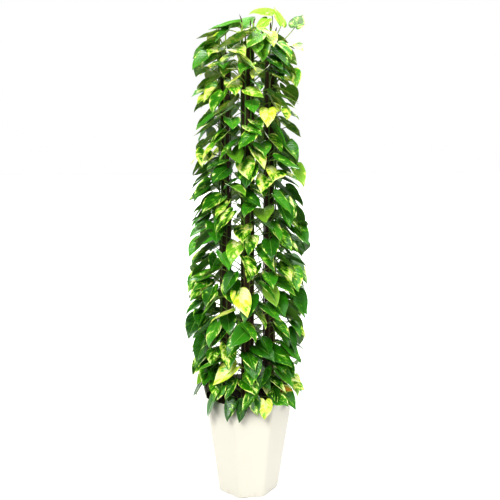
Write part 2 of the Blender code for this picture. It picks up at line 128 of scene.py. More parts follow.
# Leaves known by their neck (azimuth, radius, height): variegation, youth, tone (partly painted light and
# shade), age
KNOWN_LEAVES = (
    ((-13.8, 0.091, 1.842), 0.30, 1.00, 0.90, 0.0),
    ((-14.4, 0.124, 1.806), 0.55, 1.00, 1.00, 0.0),
    ((-17.4, 0.175, 1.798), 0.42, 0.10, 0.15, 0.0),
    ((-30.1, 0.078, 1.824), 0.55, 0.60, 0.50, 0.0),
    ((-120.7, 0.087, 1.790), 0.10, 0.10, 0.98, 0.0),
    ((-120.1, 0.065, 1.796), 0.70, 0.40, 0.50, 0.0),
    ((-78.3, 0.127, 1.747), 0.42, 0.20, 0.75, 0.0),
    ((-85.7, 0.061, 1.762), 0.85, 0.30, 0.60, 0.0),
    ((-108.1, 0.132, 1.691), 0.72, 0.20, 0.60, 0.0),
    ((-108.5, 0.138, 1.635), 1.00, 0.30, 0.60, 0.0),
    ((-77.2, 0.107, 1.726), 0.10, 0.00, 0.12, 0.0),
    ((-54.2, 0.124, 1.709), 0.28, 0.00, 0.25, 0.0),
    ((-56.7, 0.145, 1.649), 0.20, 0.00, 0.25, 0.0),
    ((-174.6, 0.134, 1.733), 0.22, 0.10, 0.45, 0.0),
    ((-160.5, 0.154, 1.697), 0.15, 0.05, 0.85, 0.0),
    ((-102.5, 0.178, 0.432), 0.20, 0.00, 0.15, 0.0),
    ((-76.6, 0.186, 0.430), 0.90, 0.55, 0.80, 0.0),
    ((-63.7, 0.181, 0.432), 0.35, 0.00, 0.60, 0.0),
    ((-129.7, 0.177, 0.479), 0.45, 0.00, 0.70, 0.0),
    ((-46.0, 0.161, 0.445), 0.30, 0.10, 0.60, 1.0),
    ((-14.2, 0.171, 0.447), 0.70, 0.30, 0.70, 0.0),
    ((-92.8, 0.161, 0.596), 0.30, 0.00, 0.50, 0.0),
    ((-148.1, 0.173, 0.536), 0.05, 0.00, 0.30, 0.0),
)
KNOWN_WITHIN = 0.035
# Height -> mean variegation and mean tone of the other leaves
# The mean tone rises with height: partly the leaves' own green, partly painted shade low down and painted
# light on top.
HEIGHT_LOOKS = ((0.40, 0.38, 0.34), (0.62, 0.38, 0.38), (0.95, 0.35, 0.46), (1.25, 0.42, 0.54),
                (1.50, 0.60, 0.78), (1.68, 0.70, 0.90), (1.85, 0.68, 0.86))
PALE_SPREAD, TONE_SPREAD = 0.21, 0.24
YOUNG_HEIGHT = 1.55              # more of the leaves above this height are young
YOUNG_BELOW, YOUNG_ABOVE = 0.10, 0.30  # chance that a leaf is young


# ---- meshes

def add_object(name, data):
    """A new object in the scene."""
    made = bpy.data.objects.new(name, data)
    bpy.context.scene.collection.objects.link(made)
    return made


class Shape:
    """Points, faces and face-corner coordinates that are gathered into one mesh."""

    def __init__(self):
        self.points, self.faces, self.leaf_uv, self.bake_uv = [], [], [], []
        self.material, self.under, self.seed, self.traits = [], [], [], []
        self.count = 0

    def add(self, points, faces, leaf_uv, cell, material=0, under=None, seed=0.0, traits=(0, 0, 0, 0)):
        """points (n, 3); faces as lists; leaf_uv one (x, y) per face corner; cell the faces' place in the
        bake map, (left, bottom, width, height), or a list with one for each face."""
        self.points.append(np.asarray(points, float))
        corner = 0
        for i, face in enumerate(faces):
            self.faces.append([self.count + k for k in face])
            left, bottom, width, height = cell[i] if isinstance(cell, list) else cell
            for x, y in leaf_uv[corner:corner + len(face)]:
                self.leaf_uv.append((x, y))
                self.bake_uv.append((left + width * x, bottom + height * y))
            corner += len(face)
        self.material.extend([material] * len(faces))
        self.under.extend([0.0] * len(faces) if under is None else under)
        self.seed.extend([seed] * len(points))
        self.traits.extend([traits] * len(points))
        self.count += len(points)

    def make(self, name, materials, sharp=50):
        """The mesh object, shaded smooth but for edges sharper than the angle."""
        mesh = bpy.data.meshes.new(name)
        mesh.from_pydata(np.concatenate(self.points).tolist(), [], self.faces)
        for map_name, values in ((LEAF_MAP, self.leaf_uv), (BAKE_MAP, self.bake_uv)):
            layer = mesh.uv_layers.new(name=map_name)
            layer.uv.foreach_set("vector", np.array(values, np.float32).ravel())
        mesh.polygons.foreach_set("material_index", self.material)
        mesh.attributes.new("under", "FLOAT", "FACE").data.foreach_set("value", self.under)
        mesh.attributes.new("seed", "FLOAT", "POINT").data.foreach_set("value", self.seed)
        colours = mesh.attributes.new("traits", "FLOAT_COLOR", "POINT")
        colours.data.foreach_set("color", np.array(self.traits, np.float32).ravel())
        for material in materials:
            mesh.materials.append(material)
        mesh.shade_smooth()
        mesh.set_sharp_from_angle(angle=math.radians(sharp))
        return add_object(name, mesh)


def unit(vectors):
    """Vectors of length 1, along the last axis."""
    vectors = np.asarray(vectors, float)
    return vectors / np.maximum(np.linalg.norm(vectors, axis=-1, keepdims=True), 1e-12)


def ring_faces(rings, sides, span):
    """Faces between rings of points, and their corners' coordinates: round, and up as a share of span."""
    faces, corners = [], []
    for i in range(rings - 1):
        low, high = i / span, (i + 1) / span
        for k in range(sides):
            m = (k + 1) % sides
            faces.append([i * sides + k, i * sides + m, (i + 1) * sides + m, (i + 1) * sides + k])
            corners += [(k / sides, low), ((k + 1) / sides, low), ((k + 1) / sides, high), (k / sides, high)]
    return faces, corners


def tube(path, radii, sides):
    """Points, faces and corner coordinates of a closed round tube along a path."""
    path = np.asarray(path, float)
    radii = np.broadcast_to(radii, len(path))
    ahead = unit(np.gradient(path, axis=0))
    side = np.zeros_like(path)
    guide = np.array((1.0, 0.0, 0.0)) if abs(ahead[0][0]) < 0.7 else np.array((0.0, 1.0, 0.0))
    for i, direction in enumerate(ahead):
        guide = unit(guide - direction * np.dot(guide, direction))
        side[i] = guide
    up = np.cross(ahead, side)
    angles = 2 * np.pi * np.arange(sides) / sides
    round_ = side[:, None] * np.cos(angles)[None, :, None] + up[:, None] * np.sin(angles)[None, :, None]
    points = (path[:, None] + radii[:, None, None] * round_).reshape(-1, 3)
    last = len(path) - 1
    faces, corners = ring_faces(len(path), sides, last)
    for ring, level in ((range(sides)[::-1], 0.0), (range(last * sides, (last + 1) * sides), 1.0)):
        faces.append(list(ring))
        corners += [(0.5 + 0.01 * math.cos(a), abs(level - 0.01 - 0.005 * math.sin(a))) for a in angles]
    return points, faces, corners


def bezier(start, start_pull, end_pull, end, count):
    """Points along a Bezier curve."""
    t = np.linspace(0, 1, count)[:, None]
    return ((1 - t) ** 3 * start + 3 * t * (1 - t) ** 2 * start_pull
            + 3 * t ** 2 * (1 - t) * end_pull + t ** 3 * end)


# ---- materials

class Look:
    """A Principled material and short ways to build its nodes. A value is a number, a tuple or a socket."""

    def __init__(self, name):
        self.material = bpy.data.materials.new(name)
        self.material.use_nodes = True
        self.nodes = self.material.node_tree.nodes
        self.links = self.material.node_tree.links
        self.shader = self.nodes["Principled BSDF"]

    def put(self, socket, value):
        if isinstance(value, bpy.types.NodeSocket):
            self.links.new(value, socket)
        else:
            socket.default_value = value

    def set(self, **inputs):
        """Sets the shader's inputs, named with _ for a space."""
        for name, value in inputs.items():
            self.put(self.shader.inputs[name.replace("_", " ")], value)

    def node(self, kind, *values, **named):
        """A new node with its first inputs and its named ones set."""
        node = self.nodes.new("ShaderNode" + kind)
        for socket, value in [*zip(node.inputs, values), *((node.inputs[n], v) for n, v in named.items())]:
            self.put(socket, value)
        return node

    def finish(self, colour, roughness, relief, distance, strength):
        """Sets the shader's colour, roughness and relief, and returns the material."""
        self.set(Base_Color=colour, Roughness=roughness, Normal=self.bump(relief, distance, strength))
        return self.material

    def math(self, operation, a, b=0.0, c=0.0):
        node = self.node("Math", a, b, c)
        node.operation = operation
        return node.outputs[0]

    def times(self, a, b):
        return self.math("MULTIPLY", a, b)

    def plus(self, a, b):
        return self.math("ADD", a, b)

    def ramp(self, value, slope, start):
        return self.math("MULTIPLY_ADD", value, slope, start)

    def step(self, value, low, high, start=0.0, end=1.0):
        """Smooth step from start to end as value goes from low to high."""
        node = self.node("MapRange", value, low, high, start, end)
        node.interpolation_type = "SMOOTHSTEP"
        return node.outputs[0]

    def mix(self, share, a, b):
        node = self.node("Mix")
        node.data_type = "RGBA"
        for name, value in (("Factor_Float", share), ("A_Color", a), ("B_Color", b)):
            socket = next(s for s in node.inputs if s.identifier == name)
            self.put(socket, (*value, 1.0) if isinstance(value, tuple) else value)
        return next(s for s in node.outputs if s.identifier == "Result_Color")

    def attribute(self, name, output="Fac"):
        node = self.node("Attribute")
        node.attribute_name = name
        return node.outputs[output]

    def parts(self, vector, kind="XYZ"):
        return self.node("Separate" + kind, vector).outputs[:3]

    def vector(self, x, y, z):
        return self.node("CombineXYZ", x, y, z).outputs[0]

    def object_place(self, stretch=(1.0, 1.0, 1.0)):
        place = self.node("TexCoord").outputs["Object"]
        return self.node("Mapping", Vector=place, Scale=stretch).outputs[0]

    def leaf_place(self):
        node = self.node("UVMap")
        node.uv_map = LEAF_MAP
        return self.parts(node.outputs[0])[:2]

    def noise(self, place, scale, detail, roughness=0.5, distortion=0.0):
        return self.node("TexNoise", Vector=place, Scale=scale, Detail=detail, Roughness=roughness,
                         Distortion=distortion).outputs[0]

    def grain(self, stretch, detail, roughness, distortion=0.0):
        """Noise in the object's own place, with so many waves a metre along x, y and z."""
        return self.noise(self.object_place(stretch), 1.0, detail, roughness, distortion)

    def bump(self, height, distance, strength):
        return self.node("Bump", Height=height, Distance=distance, Strength=strength).outputs[0]


def leaf_look():
    """Waxy variegated leaf: green with streaks, splashes and margins of lime, yellow and cream."""
    look = Look("pothos_leaf")
    x, along = look.leaf_place()
    across = look.ramp(x, 2.0, -1.0)
    side = look.math("ABSOLUTE", across)
    half = look.math("SIGN", across)
    seed = look.attribute("seed")
    under = look.attribute("under")
    variegation, youth, tone = look.parts(look.attribute("traits", "Color"), "Color")
    age = look.attribute("traits", "Alpha")

    # Side veins leave the midrib and sweep forward, and the splashes follow them.
    vein = look.math("SUBTRACT", along, look.times(side, 0.30))
    half_seed = look.plus(look.times(seed, 61.0), look.times(half, 2.3))
    streak_place = look.vector(look.times(vein, 8.5), look.times(side, 1.5), half_seed)
    streaks = look.noise(streak_place, 1.0, 4.0, 0.62, 0.35)
    broad_place = look.vector(across, look.times(along, 1.7), look.times(seed, 43.0))
    broad = look.noise(broad_place, 1.25, 1.0, 0.5)
    speck_place = look.vector(look.times(vein, 40.0), look.times(side, 11.0), half_seed)
    specks = look.noise(speck_place, 1.0, 2.0, 0.6)
    edge = look.times(look.step(side, 0.66, 1.0), look.step(broad, 0.44, 0.62, 0.0, 0.11))
    level = look.plus(look.times(streaks, 0.55), look.times(broad, 0.45))
    level = look.plus(level, edge)
    level = look.plus(level, look.times(look.math("SUBTRACT", specks, 0.5), 0.10))
    level = look.plus(level, look.times(variegation, 0.34))
    pale = look.step(level, 0.715, 0.755)
    lime = look.step(level, 0.655, 0.70)

    # Tone runs from deep to bright green; part of it is painted shade and painted light.
    green = look.mix(look.step(tone, 0.0, 0.55), (0.007, 0.056, 0.002), (0.026, 0.170, 0.003))
    green = look.mix(look.step(tone, 0.45, 1.0), green, (0.090, 0.370, 0.026))
    mottle = look.step(look.noise(streak_place, 1.7, 3.0, 0.6), 0.38, 0.66)
    green = look.mix(look.times(mottle, 0.45), green, (0.055, 0.270, 0.008))
    green = look.mix(youth, green, look.mix(broad, (0.30, 0.62, 0.030), (0.50, 0.78, 0.10)))
    cream = look.mix(look.step(streaks, 0.45, 0.62), (0.60, 0.77, 0.030), (0.86, 0.86, 0.24))
    cream = look.mix(look.times(look.step(broad, 0.52, 0.66), 0.55), cream, (0.86, 0.92, 0.58))
    colour = look.mix(look.times(lime, 0.8), green, (0.26, 0.60, 0.028))
    colour = look.mix(pale, colour, cream)
    rib = look.step(side, 0.055, 0.012)
    colour = look.mix(look.times(rib, 0.42), colour, (0.34, 0.60, 0.10))
    rim = look.step(side, 0.965, 1.0)
    rim = look.times(rim, look.step(half_seed, 20.0, 44.0))
    colour = look.mix(look.times(rim, variegation), colour, (0.54, 0.72, 0.10))
    colour = look.mix(look.times(under, 0.55), colour, (0.095, 0.240, 0.034))
    dying = look.step(look.plus(look.times(broad, 0.7), look.times(along, 0.5)), 0.25, 0.70)
    brown = look.mix(dying, (0.86, 0.52, 0.10), (0.62, 0.22, 0.035))
    colour = look.mix(look.times(age, look.step(side, 1.3, -0.2)), colour, brown)

    waves = look.times(vein, 9.0)
    waves = look.math("ABSOLUTE", look.math("SUBTRACT", look.math("FRACT", waves), 0.5))
    waves = look.step(waves, 0.0, 0.30)
    relief = look.times(waves, look.step(side, 1.0, 0.55))
    relief = look.plus(look.times(relief, 0.6), look.times(specks, 0.25))
    gloss = look.plus(look.times(broad, 0.16), 0.20)
    gloss = look.plus(gloss, look.times(under, 0.26))
    look.shader.inputs["Specular IOR Level"].default_value = 0.42
    look.shader.inputs["Coat Weight"].default_value = 0.17
    look.shader.inputs["Coat Roughness"].default_value = 0.22
    return look.finish(colour, gloss, relief, 0.0010, 0.65)


def stalk_look():
    """Smooth green leaf stalks, paler on young leaves."""
    look = Look("leaf_stalk")
    _, along = look.leaf_place()
    _, _, height = look.parts(look.object_place())
    seed = look.attribute("seed")
    variegation, youth, _ = look.parts(look.attribute("traits", "Color"), "Color")
    grain = look.grain((60, 60, 20), 3.0, 0.6)
    colour = look.mix(look.step(seed, 0.2, 0.9), (0.070, 0.230, 0.018), (0.26, 0.46, 0.045))
    colour = look.mix(look.times(grain, 0.5), colour, (0.14, 0.30, 0.03))
    pale = look.math("MAXIMUM", youth, look.times(variegation, 0.5))
    # Paler near the top: partly young growth, partly painted light shining through the thin stalks.
    pale = look.math("MAXIMUM", pale, look.step(height, 1.70, 1.79))
    colour = look.mix(pale, colour, (0.60, 0.74, 0.09))
    colour = look.mix(look.step(along, 0.12, 0.0, 0.0, 0.7), colour, (0.16, 0.13, 0.035))
    return look.finish(colour, look.ramp(grain, 0.25, 0.28), grain, 0.0004, 0.5)


def stem_look():
    """Climbing stem: green above, browner and corky below, with scars."""
    look = Look("vine_stem")
    _, _, height = look.parts(look.object_place())
    grain = look.grain((110, 110, 45), 4.0, 0.65)
    patch = look.grain((16, 16, 7), 2.0, 0.5)
    woody = look.plus(look.step(height, 1.5, 0.3, 0.0, 0.45), look.times(patch, 0.8))
    green = look.mix(grain, (0.045, 0.135, 0.012), (0.16, 0.34, 0.030))
    brown = look.mix(grain, (0.050, 0.030, 0.012), (0.22, 0.15, 0.060))
    colour = look.mix(look.step(woody, 0.50, 0.80), green, brown)
    colour = look.mix(look.step(height, 1.62, 1.80, 0.0, 0.85), colour, (0.34, 0.50, 0.06))
    return look.finish(colour, look.ramp(grain, 0.30, 0.45), grain, 0.0010, 0.7)


def pole_look():
    """Dark tree-fern fibre: tangled, mostly upright strands."""
    look = Look("fern_fibre")
    strands = look.grain((420, 420, 34), 5.0, 0.7, 1.2)
    clumps = look.grain((70, 70, 22), 3.0, 0.6)
    moss = look.grain((18, 18, 8), 2.0, 0.5)
    colour = look.mix(strands, (0.010, 0.006, 0.003), (0.155, 0.092, 0.048))
    colour = look.mix(look.step(clumps, 0.5, 0.75, 0.0, 0.6), colour, (0.022, 0.013, 0.007))
    colour = look.mix(look.step(moss, 0.58, 0.75, 0.0, 0.35), colour, (0.050, 0.062, 0.012))
    height = look.plus(strands, look.times(clumps, 0.8))
    return look.finish(colour, look.ramp(strands, 0.12, 0.84), height, 0.0022, 0.9)


def root_look():
    """Thin brown rootlets and loose fibres."""
    look = Look("rootlets")
    grain = look.grain((300, 300, 90), 3.0, 0.6)
    seed = look.attribute("seed")
    colour = look.mix(seed, (0.035, 0.019, 0.009), (0.20, 0.125, 0.060))
    colour = look.mix(look.times(grain, 0.5), colour, (0.09, 0.050, 0.024))
    return look.finish(colour, look.ramp(grain, 0.2, 0.7), grain, 0.0006, 0.6)


def soil_look():
    """Moist potting soil with bits of bark and pumice."""
    look = Look("potting_soil")
    grain = look.grain((260, 260, 260), 5.0, 0.7)
    damp = look.grain((26, 26, 26), 2.0, 0.5)
    seed = look.attribute("seed")
    colour = look.mix(grain, (0.012, 0.007, 0.004), (0.085, 0.052, 0.030))
    colour = look.mix(look.step(seed, 0.55, 0.93, 0.0, 0.8), colour, (0.150, 0.082, 0.042))
    colour = look.mix(look.step(seed, 0.955, 0.965), colour, (0.52, 0.48, 0.41))
    colour = look.mix(look.step(damp, 0.45, 0.65, 0.0, 0.5), colour, (0.016, 0.010, 0.006))
    return look.finish(colour, look.ramp(damp, -0.25, 1.0), grain, 0.0016, 0.9)


def pot_look():
    """Satin ivory plastic with the faint orange peel of a moulding."""
    look = Look("ivory_plastic")
    cloud = look.grain((5, 5, 3), 2.0, 0.5)
    peel = look.grain((240, 240, 240), 2.0, 0.5)
    blotches = look.grain((30, 30, 6), 4.0, 0.7)
    _, _, height = look.parts(look.object_place())
    colour = look.mix(cloud, (0.890, 0.860, 0.745), (0.920, 0.890, 0.785))
    # Darker, browner blotches in the lowest 35 mm of the planter.
    foot = look.times(look.step(height, 0.035, 0.0), look.step(blotches, 0.45, 0.75))
    colour = look.mix(look.times(foot, 0.35), colour, (0.60, 0.54, 0.42))
    gloss = look.plus(look.times(look.step(blotches, 0.4, 0.7), 0.10), 0.30)
    return look.finish(colour, gloss, peel, 0.0002, 0.25)


def grained_look(name, scale, dark, light, roughness, distance, strength):
    """Plain material whose fine grain varies its colour, its roughness and its relief a little."""
    look = Look(name)
    grain = look.grain((scale, scale, scale), 2.0, 0.5)
    colour = look.mix(grain, dark, light)
    return look.finish(colour, look.ramp(grain, 0.2, roughness), grain, distance, strength)


def tie_look():
    """Green plastic-coated garden wire."""
    return grained_look("coated_wire", 350, (0.016, 0.085, 0.018), (0.040, 0.155, 0.030), 0.32, 0.0003, 0.4)


def net_look():
    """Black drainage net."""
    return grained_look("drain_mesh", 180, (0.012, 0.012, 0.013), (0.045, 0.045, 0.046), 0.5, 0.0004, 0.5)


def floor_look():
    """Plain pale floor."""
    look = Look("pale_floor")
    look.set(Base_Color=(0.93, 0.93, 0.925, 1.0), Roughness=0.75)
    return look.material


# ---- reading the vine solids

class Leaf:
    """A blade as the solid holds it: base triangle on the stem, midrib points, half width, side directions."""

    def __init__(self, tip, late, full, neck, base):
        self.base = np.mean(base, axis=0)
        middles, rights, ups = [], [], []
        for ring in (neck, full, late):
            left, right, keel = widest_pair(ring)
            middle = (left + right) / 2
            middles.append(middle)
            ups.append(unit(middle - keel))
            rights.append(right - left)
        self.middles = np.array([*middles, tip])
        self.half = np.linalg.norm(rights[1]) / 2
        ahead = self.middles[2] - self.middles[1]
        turned = np.cross(ahead, ups[1])
        signs = [1.0 if np.dot(r, turned) > 0 else -1.0 for r in rights]
        self.rights = [unit(r) * s for r, s in zip(rights, signs)]

    def midrib(self, share):
        """Points on the smooth curve through the midrib's four points, and its direction there."""
        share = np.asarray(share, float)
        inside = np.clip(share, 0.0, 1.0)
        place, slope = 0.0, 0.0
        for i, here in enumerate(RING_SHARES):
            others = [s for k, s in enumerate(RING_SHARES) if k != i]
            scale = np.prod([here - s for s in others])
            weight = np.prod([inside - s for s in others], axis=0) / scale
            rise = sum(np.prod([inside - s for n, s in enumerate(others) if n != k], axis=0)
                       for k in range(3)) / scale
            place = place + weight[..., None] * self.middles[i]
            slope = slope + rise[..., None] * self.middles[i]
        return place + (share - inside)[..., None] * slope, unit(slope)

    def sides(self, share, ahead):
        """Right and up directions at places along the midrib."""
        turn = (np.asarray(share) - RING_SHARES[1]) / (RING_SHARES[2] - RING_SHARES[1])
        turn = np.clip(turn, 0, 1)[..., None]
        right = (1 - turn) * self.rights[1] + turn * self.rights[2]
        right = unit(right - ahead * (right * ahead).sum(-1, keepdims=True))
        return right, np.cross(right, ahead)


def widest_pair(ring):
    """The two corners furthest apart, then the third."""
    pairs = [(np.linalg.norm(ring[a] - ring[b]), a, b) for a, b in ((0, 1), (1, 2), (0, 2))]
    _, a, b = max(pairs)
    return ring[a], ring[b], ring[3 - a - b]


def read_vine(node):
    """The leaves of a vine solid, and the centre line of its stem with a point for each ring."""
    mesh = bmesh.new()
    mesh.from_mesh(node.data)
    bmesh.ops.remove_doubles(mesh, verts=mesh.verts, dist=MERGE)
    leaves, blade_points = [], set()
    for tip in mesh.verts:
        if len(tip.link_edges) != 3 or min(e.calc_length() for e in tip.link_edges) < LEAST_TIP:
            continue
        seen, last, rings = {tip}, {tip}, []
        for _ in range(4):
            last = {e.other_vert(v) for v in last for e in v.link_edges} - seen
            seen |= last
            rings.append(sorted(last, key=lambda v: v.index))
        if any(len(ring) != 3 for ring in rings):
            raise ValueError(f"{node.name} has a blade that isn't read as expected")
        late, full, neck, base = [[np.array(v.co) for v in ring] for ring in rings]
        leaves.append(Leaf(np.array(tip.co), late, full, neck, base))
        blade_points |= {tip, *rings[0], *rings[1], *rings[2]}
    stem = sorted(((v.co.z, v.co.x, v.co.y) for v in mesh.verts if v not in blade_points))
    mesh.free()
    line = []
    for i in range(0, len(stem) - 2, 3):
        z, x, y = np.mean(stem[i:i + 3], axis=0)
        line.append((x, y, z))
    leaves.sort(key=lambda leaf: leaf.base[2])
    return leaves, np.array(line)


# ---- leaves

def blade_topology():
    """Faces of a blade's top and under side on numbered points, with each point's place across and along.
    The two sides share the margin, the base row and the tip, so the blade is closed."""
    across, rows = len(COLUMNS), len(ROWS)
    top = np.arange(rows * across).reshape(rows, across)
    inner = np.arange((rows - 1) * (across - 2)).reshape(rows - 1, across - 2) + rows * across
    under = top.copy()
    under[1:, 1:-1] = inner
    tip = rows * across + inner.size
    place = np.zeros((tip + 1, 2))
    for grid in (top, under):
        place[grid] = np.stack(np.meshgrid(COLUMNS, ROWS), -1)
    place[tip] = (0.0, 1.0)
    faces, is_under = [], []
    for grid, below in ((top, False), (under, True)):
        for i in range(rows - 1):
            for k in range(across - 1):
                face = [grid[i, k], grid[i, k + 1], grid[i + 1, k + 1], grid[i + 1, k]]
                faces.append(face[::-1] if below else face)
                is_under.append(float(below))
        for k in range(across - 1):
            face = [grid[-1, k], grid[-1, k + 1], tip]
            faces.append(face[::-1] if below else face)
            is_under.append(float(below))
    sides = np.zeros(tip + 1)
    sides[top[1:, 1:-1]] = 1.0
    sides[under[1:, 1:-1]] = -1.0
    corners = [((place[k][0] + 1) / 2, place[k][1]) for face in faces for k in face]
    return faces, is_under, place, sides, corners


def blade_points(leaf, place, sides, chance):
    """A blade's points: heart shaped, folded along the midrib, wavy at the margin, with a turned tip."""
    across, along = place[:, 0], place[:, 1]
    reach = np.abs(across)
    width = np.interp(along, np.append(ROWS, 1.0), np.append(ROW_WIDTHS, 0.0))
    lobe = LOBE * chance.uniform(0.7, 1.25) * np.sin(0.8 * np.pi * reach) ** 0.8 * (1 - along) ** 4
    share = along - lobe
    middle, ahead = leaf.midrib(share)
    right, up = leaf.sides(share, ahead)
    roll = math.radians(chance.uniform(-ROLL, ROLL))
    right, up = right * math.cos(roll) + up * math.sin(roll), up * math.cos(roll) - right * math.sin(roll)
    lopsided = 1 + chance.uniform(-0.05, 0.05) * np.sign(across)
    out = leaf.half * width * reach * lopsided
    angle = math.radians(chance.triangular(*FOLD))
    fold = np.tan(angle * (1 - 0.55 * np.clip(along, 0, 1)))
    cup = chance.uniform(0.001, 0.0055)
    lift = out * fold - cup * (out / leaf.half) ** 2.4
    sink = MIDRIB_SINK + 0.30 * leaf.half * (math.tan(angle) - 0.17)
    lift -= sink * np.sin(np.pi * np.clip(share, 0, 1)) ** 0.6
    for half_side in (-1, 1):
        waves = np.sin(2 * np.pi * (chance.uniform(1.3, 2.4) * along + chance.random()))
        lift += np.where(across * half_side > 0, waves * chance.uniform(0.0003, 0.0016) * reach ** 2.2, 0.0) \
            * np.sqrt(width)
    late = np.clip((share - 0.72) / 0.28, 0, 1) ** 2
    lift -= chance.uniform(-0.001, 0.010) * late
    shift = chance.uniform(-0.007, 0.007) * late
    skin = np.where(sides > 0, BLADE / 2 - GROOVE * np.exp(-(out / 0.0012) ** 2) * (1 - along), 0.0)
    skin = np.where(sides < 0, -BLADE / 2 - RIB * np.exp(-(out / 0.0011) ** 2) * (1 - 0.85 * along), skin)
    return middle + right * (np.sign(across) * out + shift)[:, None] + up * (lift + skin)[:, None]


def stalk_path(leaf, pole):
    """A leaf stalk that rises out of its stem and bends over into the blade."""
    away = leaf.base - pole
    away[2] = 0.0
    away = unit(away)
    start = leaf.base - away * 0.0015
    neck, ahead = leaf.midrib(0.02)
    _, up = leaf.sides(0.02, ahead)
    end = neck - up * 0.0012
    length = np.linalg.norm(end - start)
    straight = unit(end - start)
    start_pull = start + unit(away * 0.45 + straight * 0.8 + np.array((0, 0, 0.55))) * length * 0.33
    end_pull = end - unit(straight * 0.75 + ahead * 0.5) * length * 0.28
    return bezier(start, start_pull, end_pull, end, STALK_RINGS)


def stalk_radii():
    """Wide and sheathed at the stem, thin along its run, with a small knee under the blade."""
    t = np.linspace(0, 1, STALK_RINGS)
    low, high = STALK_RADII
    radii = low + (high - low) * t ** 0.6
    radii = radii * (1 + 0.35 * np.exp(-(t / 0.10) ** 2) + 0.28 * np.exp(-((t - 0.93) / 0.05) ** 2))
    return radii


def leaf_traits(leaf, chance):
    """Variegation, youth, tone and age of a leaf, from its place or by chance."""
    neck = leaf.middles[0]
    for (azimuth, radius, height), *traits in KNOWN_LEAVES:
        a = math.radians(azimuth)
        place = np.array((radius * math.cos(a), radius * math.sin(a), height))
        if np.linalg.norm(neck - place) < KNOWN_WITHIN:
            return tuple(traits)
    heights, mean_pale, mean_tone = zip(*HEIGHT_LOOKS)
    pale = np.interp(neck[2], heights, mean_pale)
    tone = np.interp(neck[2], heights, mean_tone)
    variegation = min(1.0, max(0.0, chance.gauss(pale, PALE_SPREAD)))
    youth = 0.0
    if chance.random() < YOUNG_BELOW + (YOUNG_ABOVE - YOUNG_BELOW) * (neck[2] > YOUNG_HEIGHT):
        youth = chance.uniform(0.2, 0.7)
    return variegation, youth, min(1.0, max(0.0, chance.gauss(tone, TONE_SPREAD))), 0.0


# ---- vines

def blade_cell(number):
    """Place of a blade side in the bake map."""
    column, row = number % MAP_COLUMNS, number // MAP_COLUMNS
    width, height = 1 / MAP_COLUMNS, (1 - MAP_LOW) / MAP_ROWS
    return (column * width + width * MAP_GAP / 2, MAP_LOW + row * height + height * MAP_GAP / 2,
            width * (1 - MAP_GAP), height * (1 - MAP_GAP))


def strip_cell(number, count, low, high):
    """Place of one of count upright strips in the lower part of the bake map."""
    width = 1 / count
    return (number * width + width * 0.08, low, width * 0.84, high - low)


def make_vine(node, pole, looks, topology):
    """One grown piece: stem, rootlets, stalks, blades and the short spear at its top."""
    chance = random.Random(node.name)
    leaves, line = read_vine(node)
    faces, is_under, place, sides, corners = topology
    shape = Shape()
    for i, leaf in enumerate(leaves):
        traits = leaf_traits(leaf, chance)
        seed = chance.random()
        cells = [blade_cell(2 * i), blade_cell(2 * i + 1)]
        shape.add(blade_points(leaf, place, sides, chance), faces, corners, [cells[int(u)] for u in is_under],
                  0, is_under, seed, traits)
        points, stalk_faces, stalk_corners = tube(stalk_path(leaf, pole), stalk_radii(), 6)
        shape.add(points, stalk_faces, stalk_corners, strip_cell(i, len(leaves), 0.055, 0.135), 1,
                  seed=seed, traits=traits)
    add_stem(shape, line, pole, [leaf.base[2] for leaf in leaves], chance)
    piece = shape.make(node.name + "_live", looks)
    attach(piece, "root")
    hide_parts(node.name)


def add_stem(shape, line, pole, node_heights, chance):
    """The round stem with swollen nodes, the rootlets that grip the pole, and the short spear on top."""
    low, high = line[0][2], line[-1][2]
    heights = np.linspace(low, high, int((high - low) / STEM_STEP))
    path = np.stack([np.interp(heights, line[:, 2], line[:, k]) for k in (0, 1)] + [heights], 1)
    away = path - pole
    away[:, 2] = 0
    away = unit(away)
    path = path + away * STEM_OUT
    swell = sum(np.exp(-((heights - z) / 0.006) ** 2) for z in node_heights)
    radii = STEM_RADIUS * (1 - 0.18 * (heights - low) / (high - low)) * (1 + 0.26 * np.minimum(swell, 1.0))
    shape.add(*tube(path, radii, 9), (0.01, 0.002, 0.98, 0.05), 2, seed=chance.random())
    for z in node_heights:
        add_rootlets(shape, z - 0.006, heights, path, away, chance)
    spear = chance.uniform(0.016, 0.030)
    lean = away[-1] * chance.uniform(0.1, 0.4) + UP
    tip = path[-1] + lean * spear
    curve = bezier(path[-1] - np.array((0, 0, 0.004)), path[-1] + lean * spear * 0.3, tip - lean * spear * 0.3,
                   tip + away[-1] * 0.004, len(SPEAR_RADII))
    shape.add(*tube(curve, SPEAR_RADII, 7), (0.01, 0.002, 0.05, 0.05), 3, seed=chance.random())


def add_rootlets(shape, z, heights, path, away, chance):
    """Short brown roots from a node towards the pole's face."""
    index = int(np.clip(np.searchsorted(heights, z), 0, len(heights) - 1))
    out = away[index]
    along_side = np.cross(UP, out)
    for turn in (-1, 1):
        if chance.random() < 0.35:
            continue
        start = path[index] + along_side * turn * STEM_RADIUS * 0.7
        length = chance.uniform(0.005, 0.013)
        knee = start + along_side * turn * length * 0.6 - out * 0.0012
        end = knee + along_side * turn * length * 0.5 - out * chance.uniform(0.001, 0.003)
        end = end - np.array((0, 0, chance.uniform(0.0, 0.008)))
        curve = bezier(start, (start + knee) / 2, knee, end, len(ROOTLET_RADII))
        shape.add(*tube(curve, ROOTLET_RADII, 5), (0.5, 0.002, 0.01, 0.05), 3, seed=chance.random())


# ---- poles, ties, net and soil

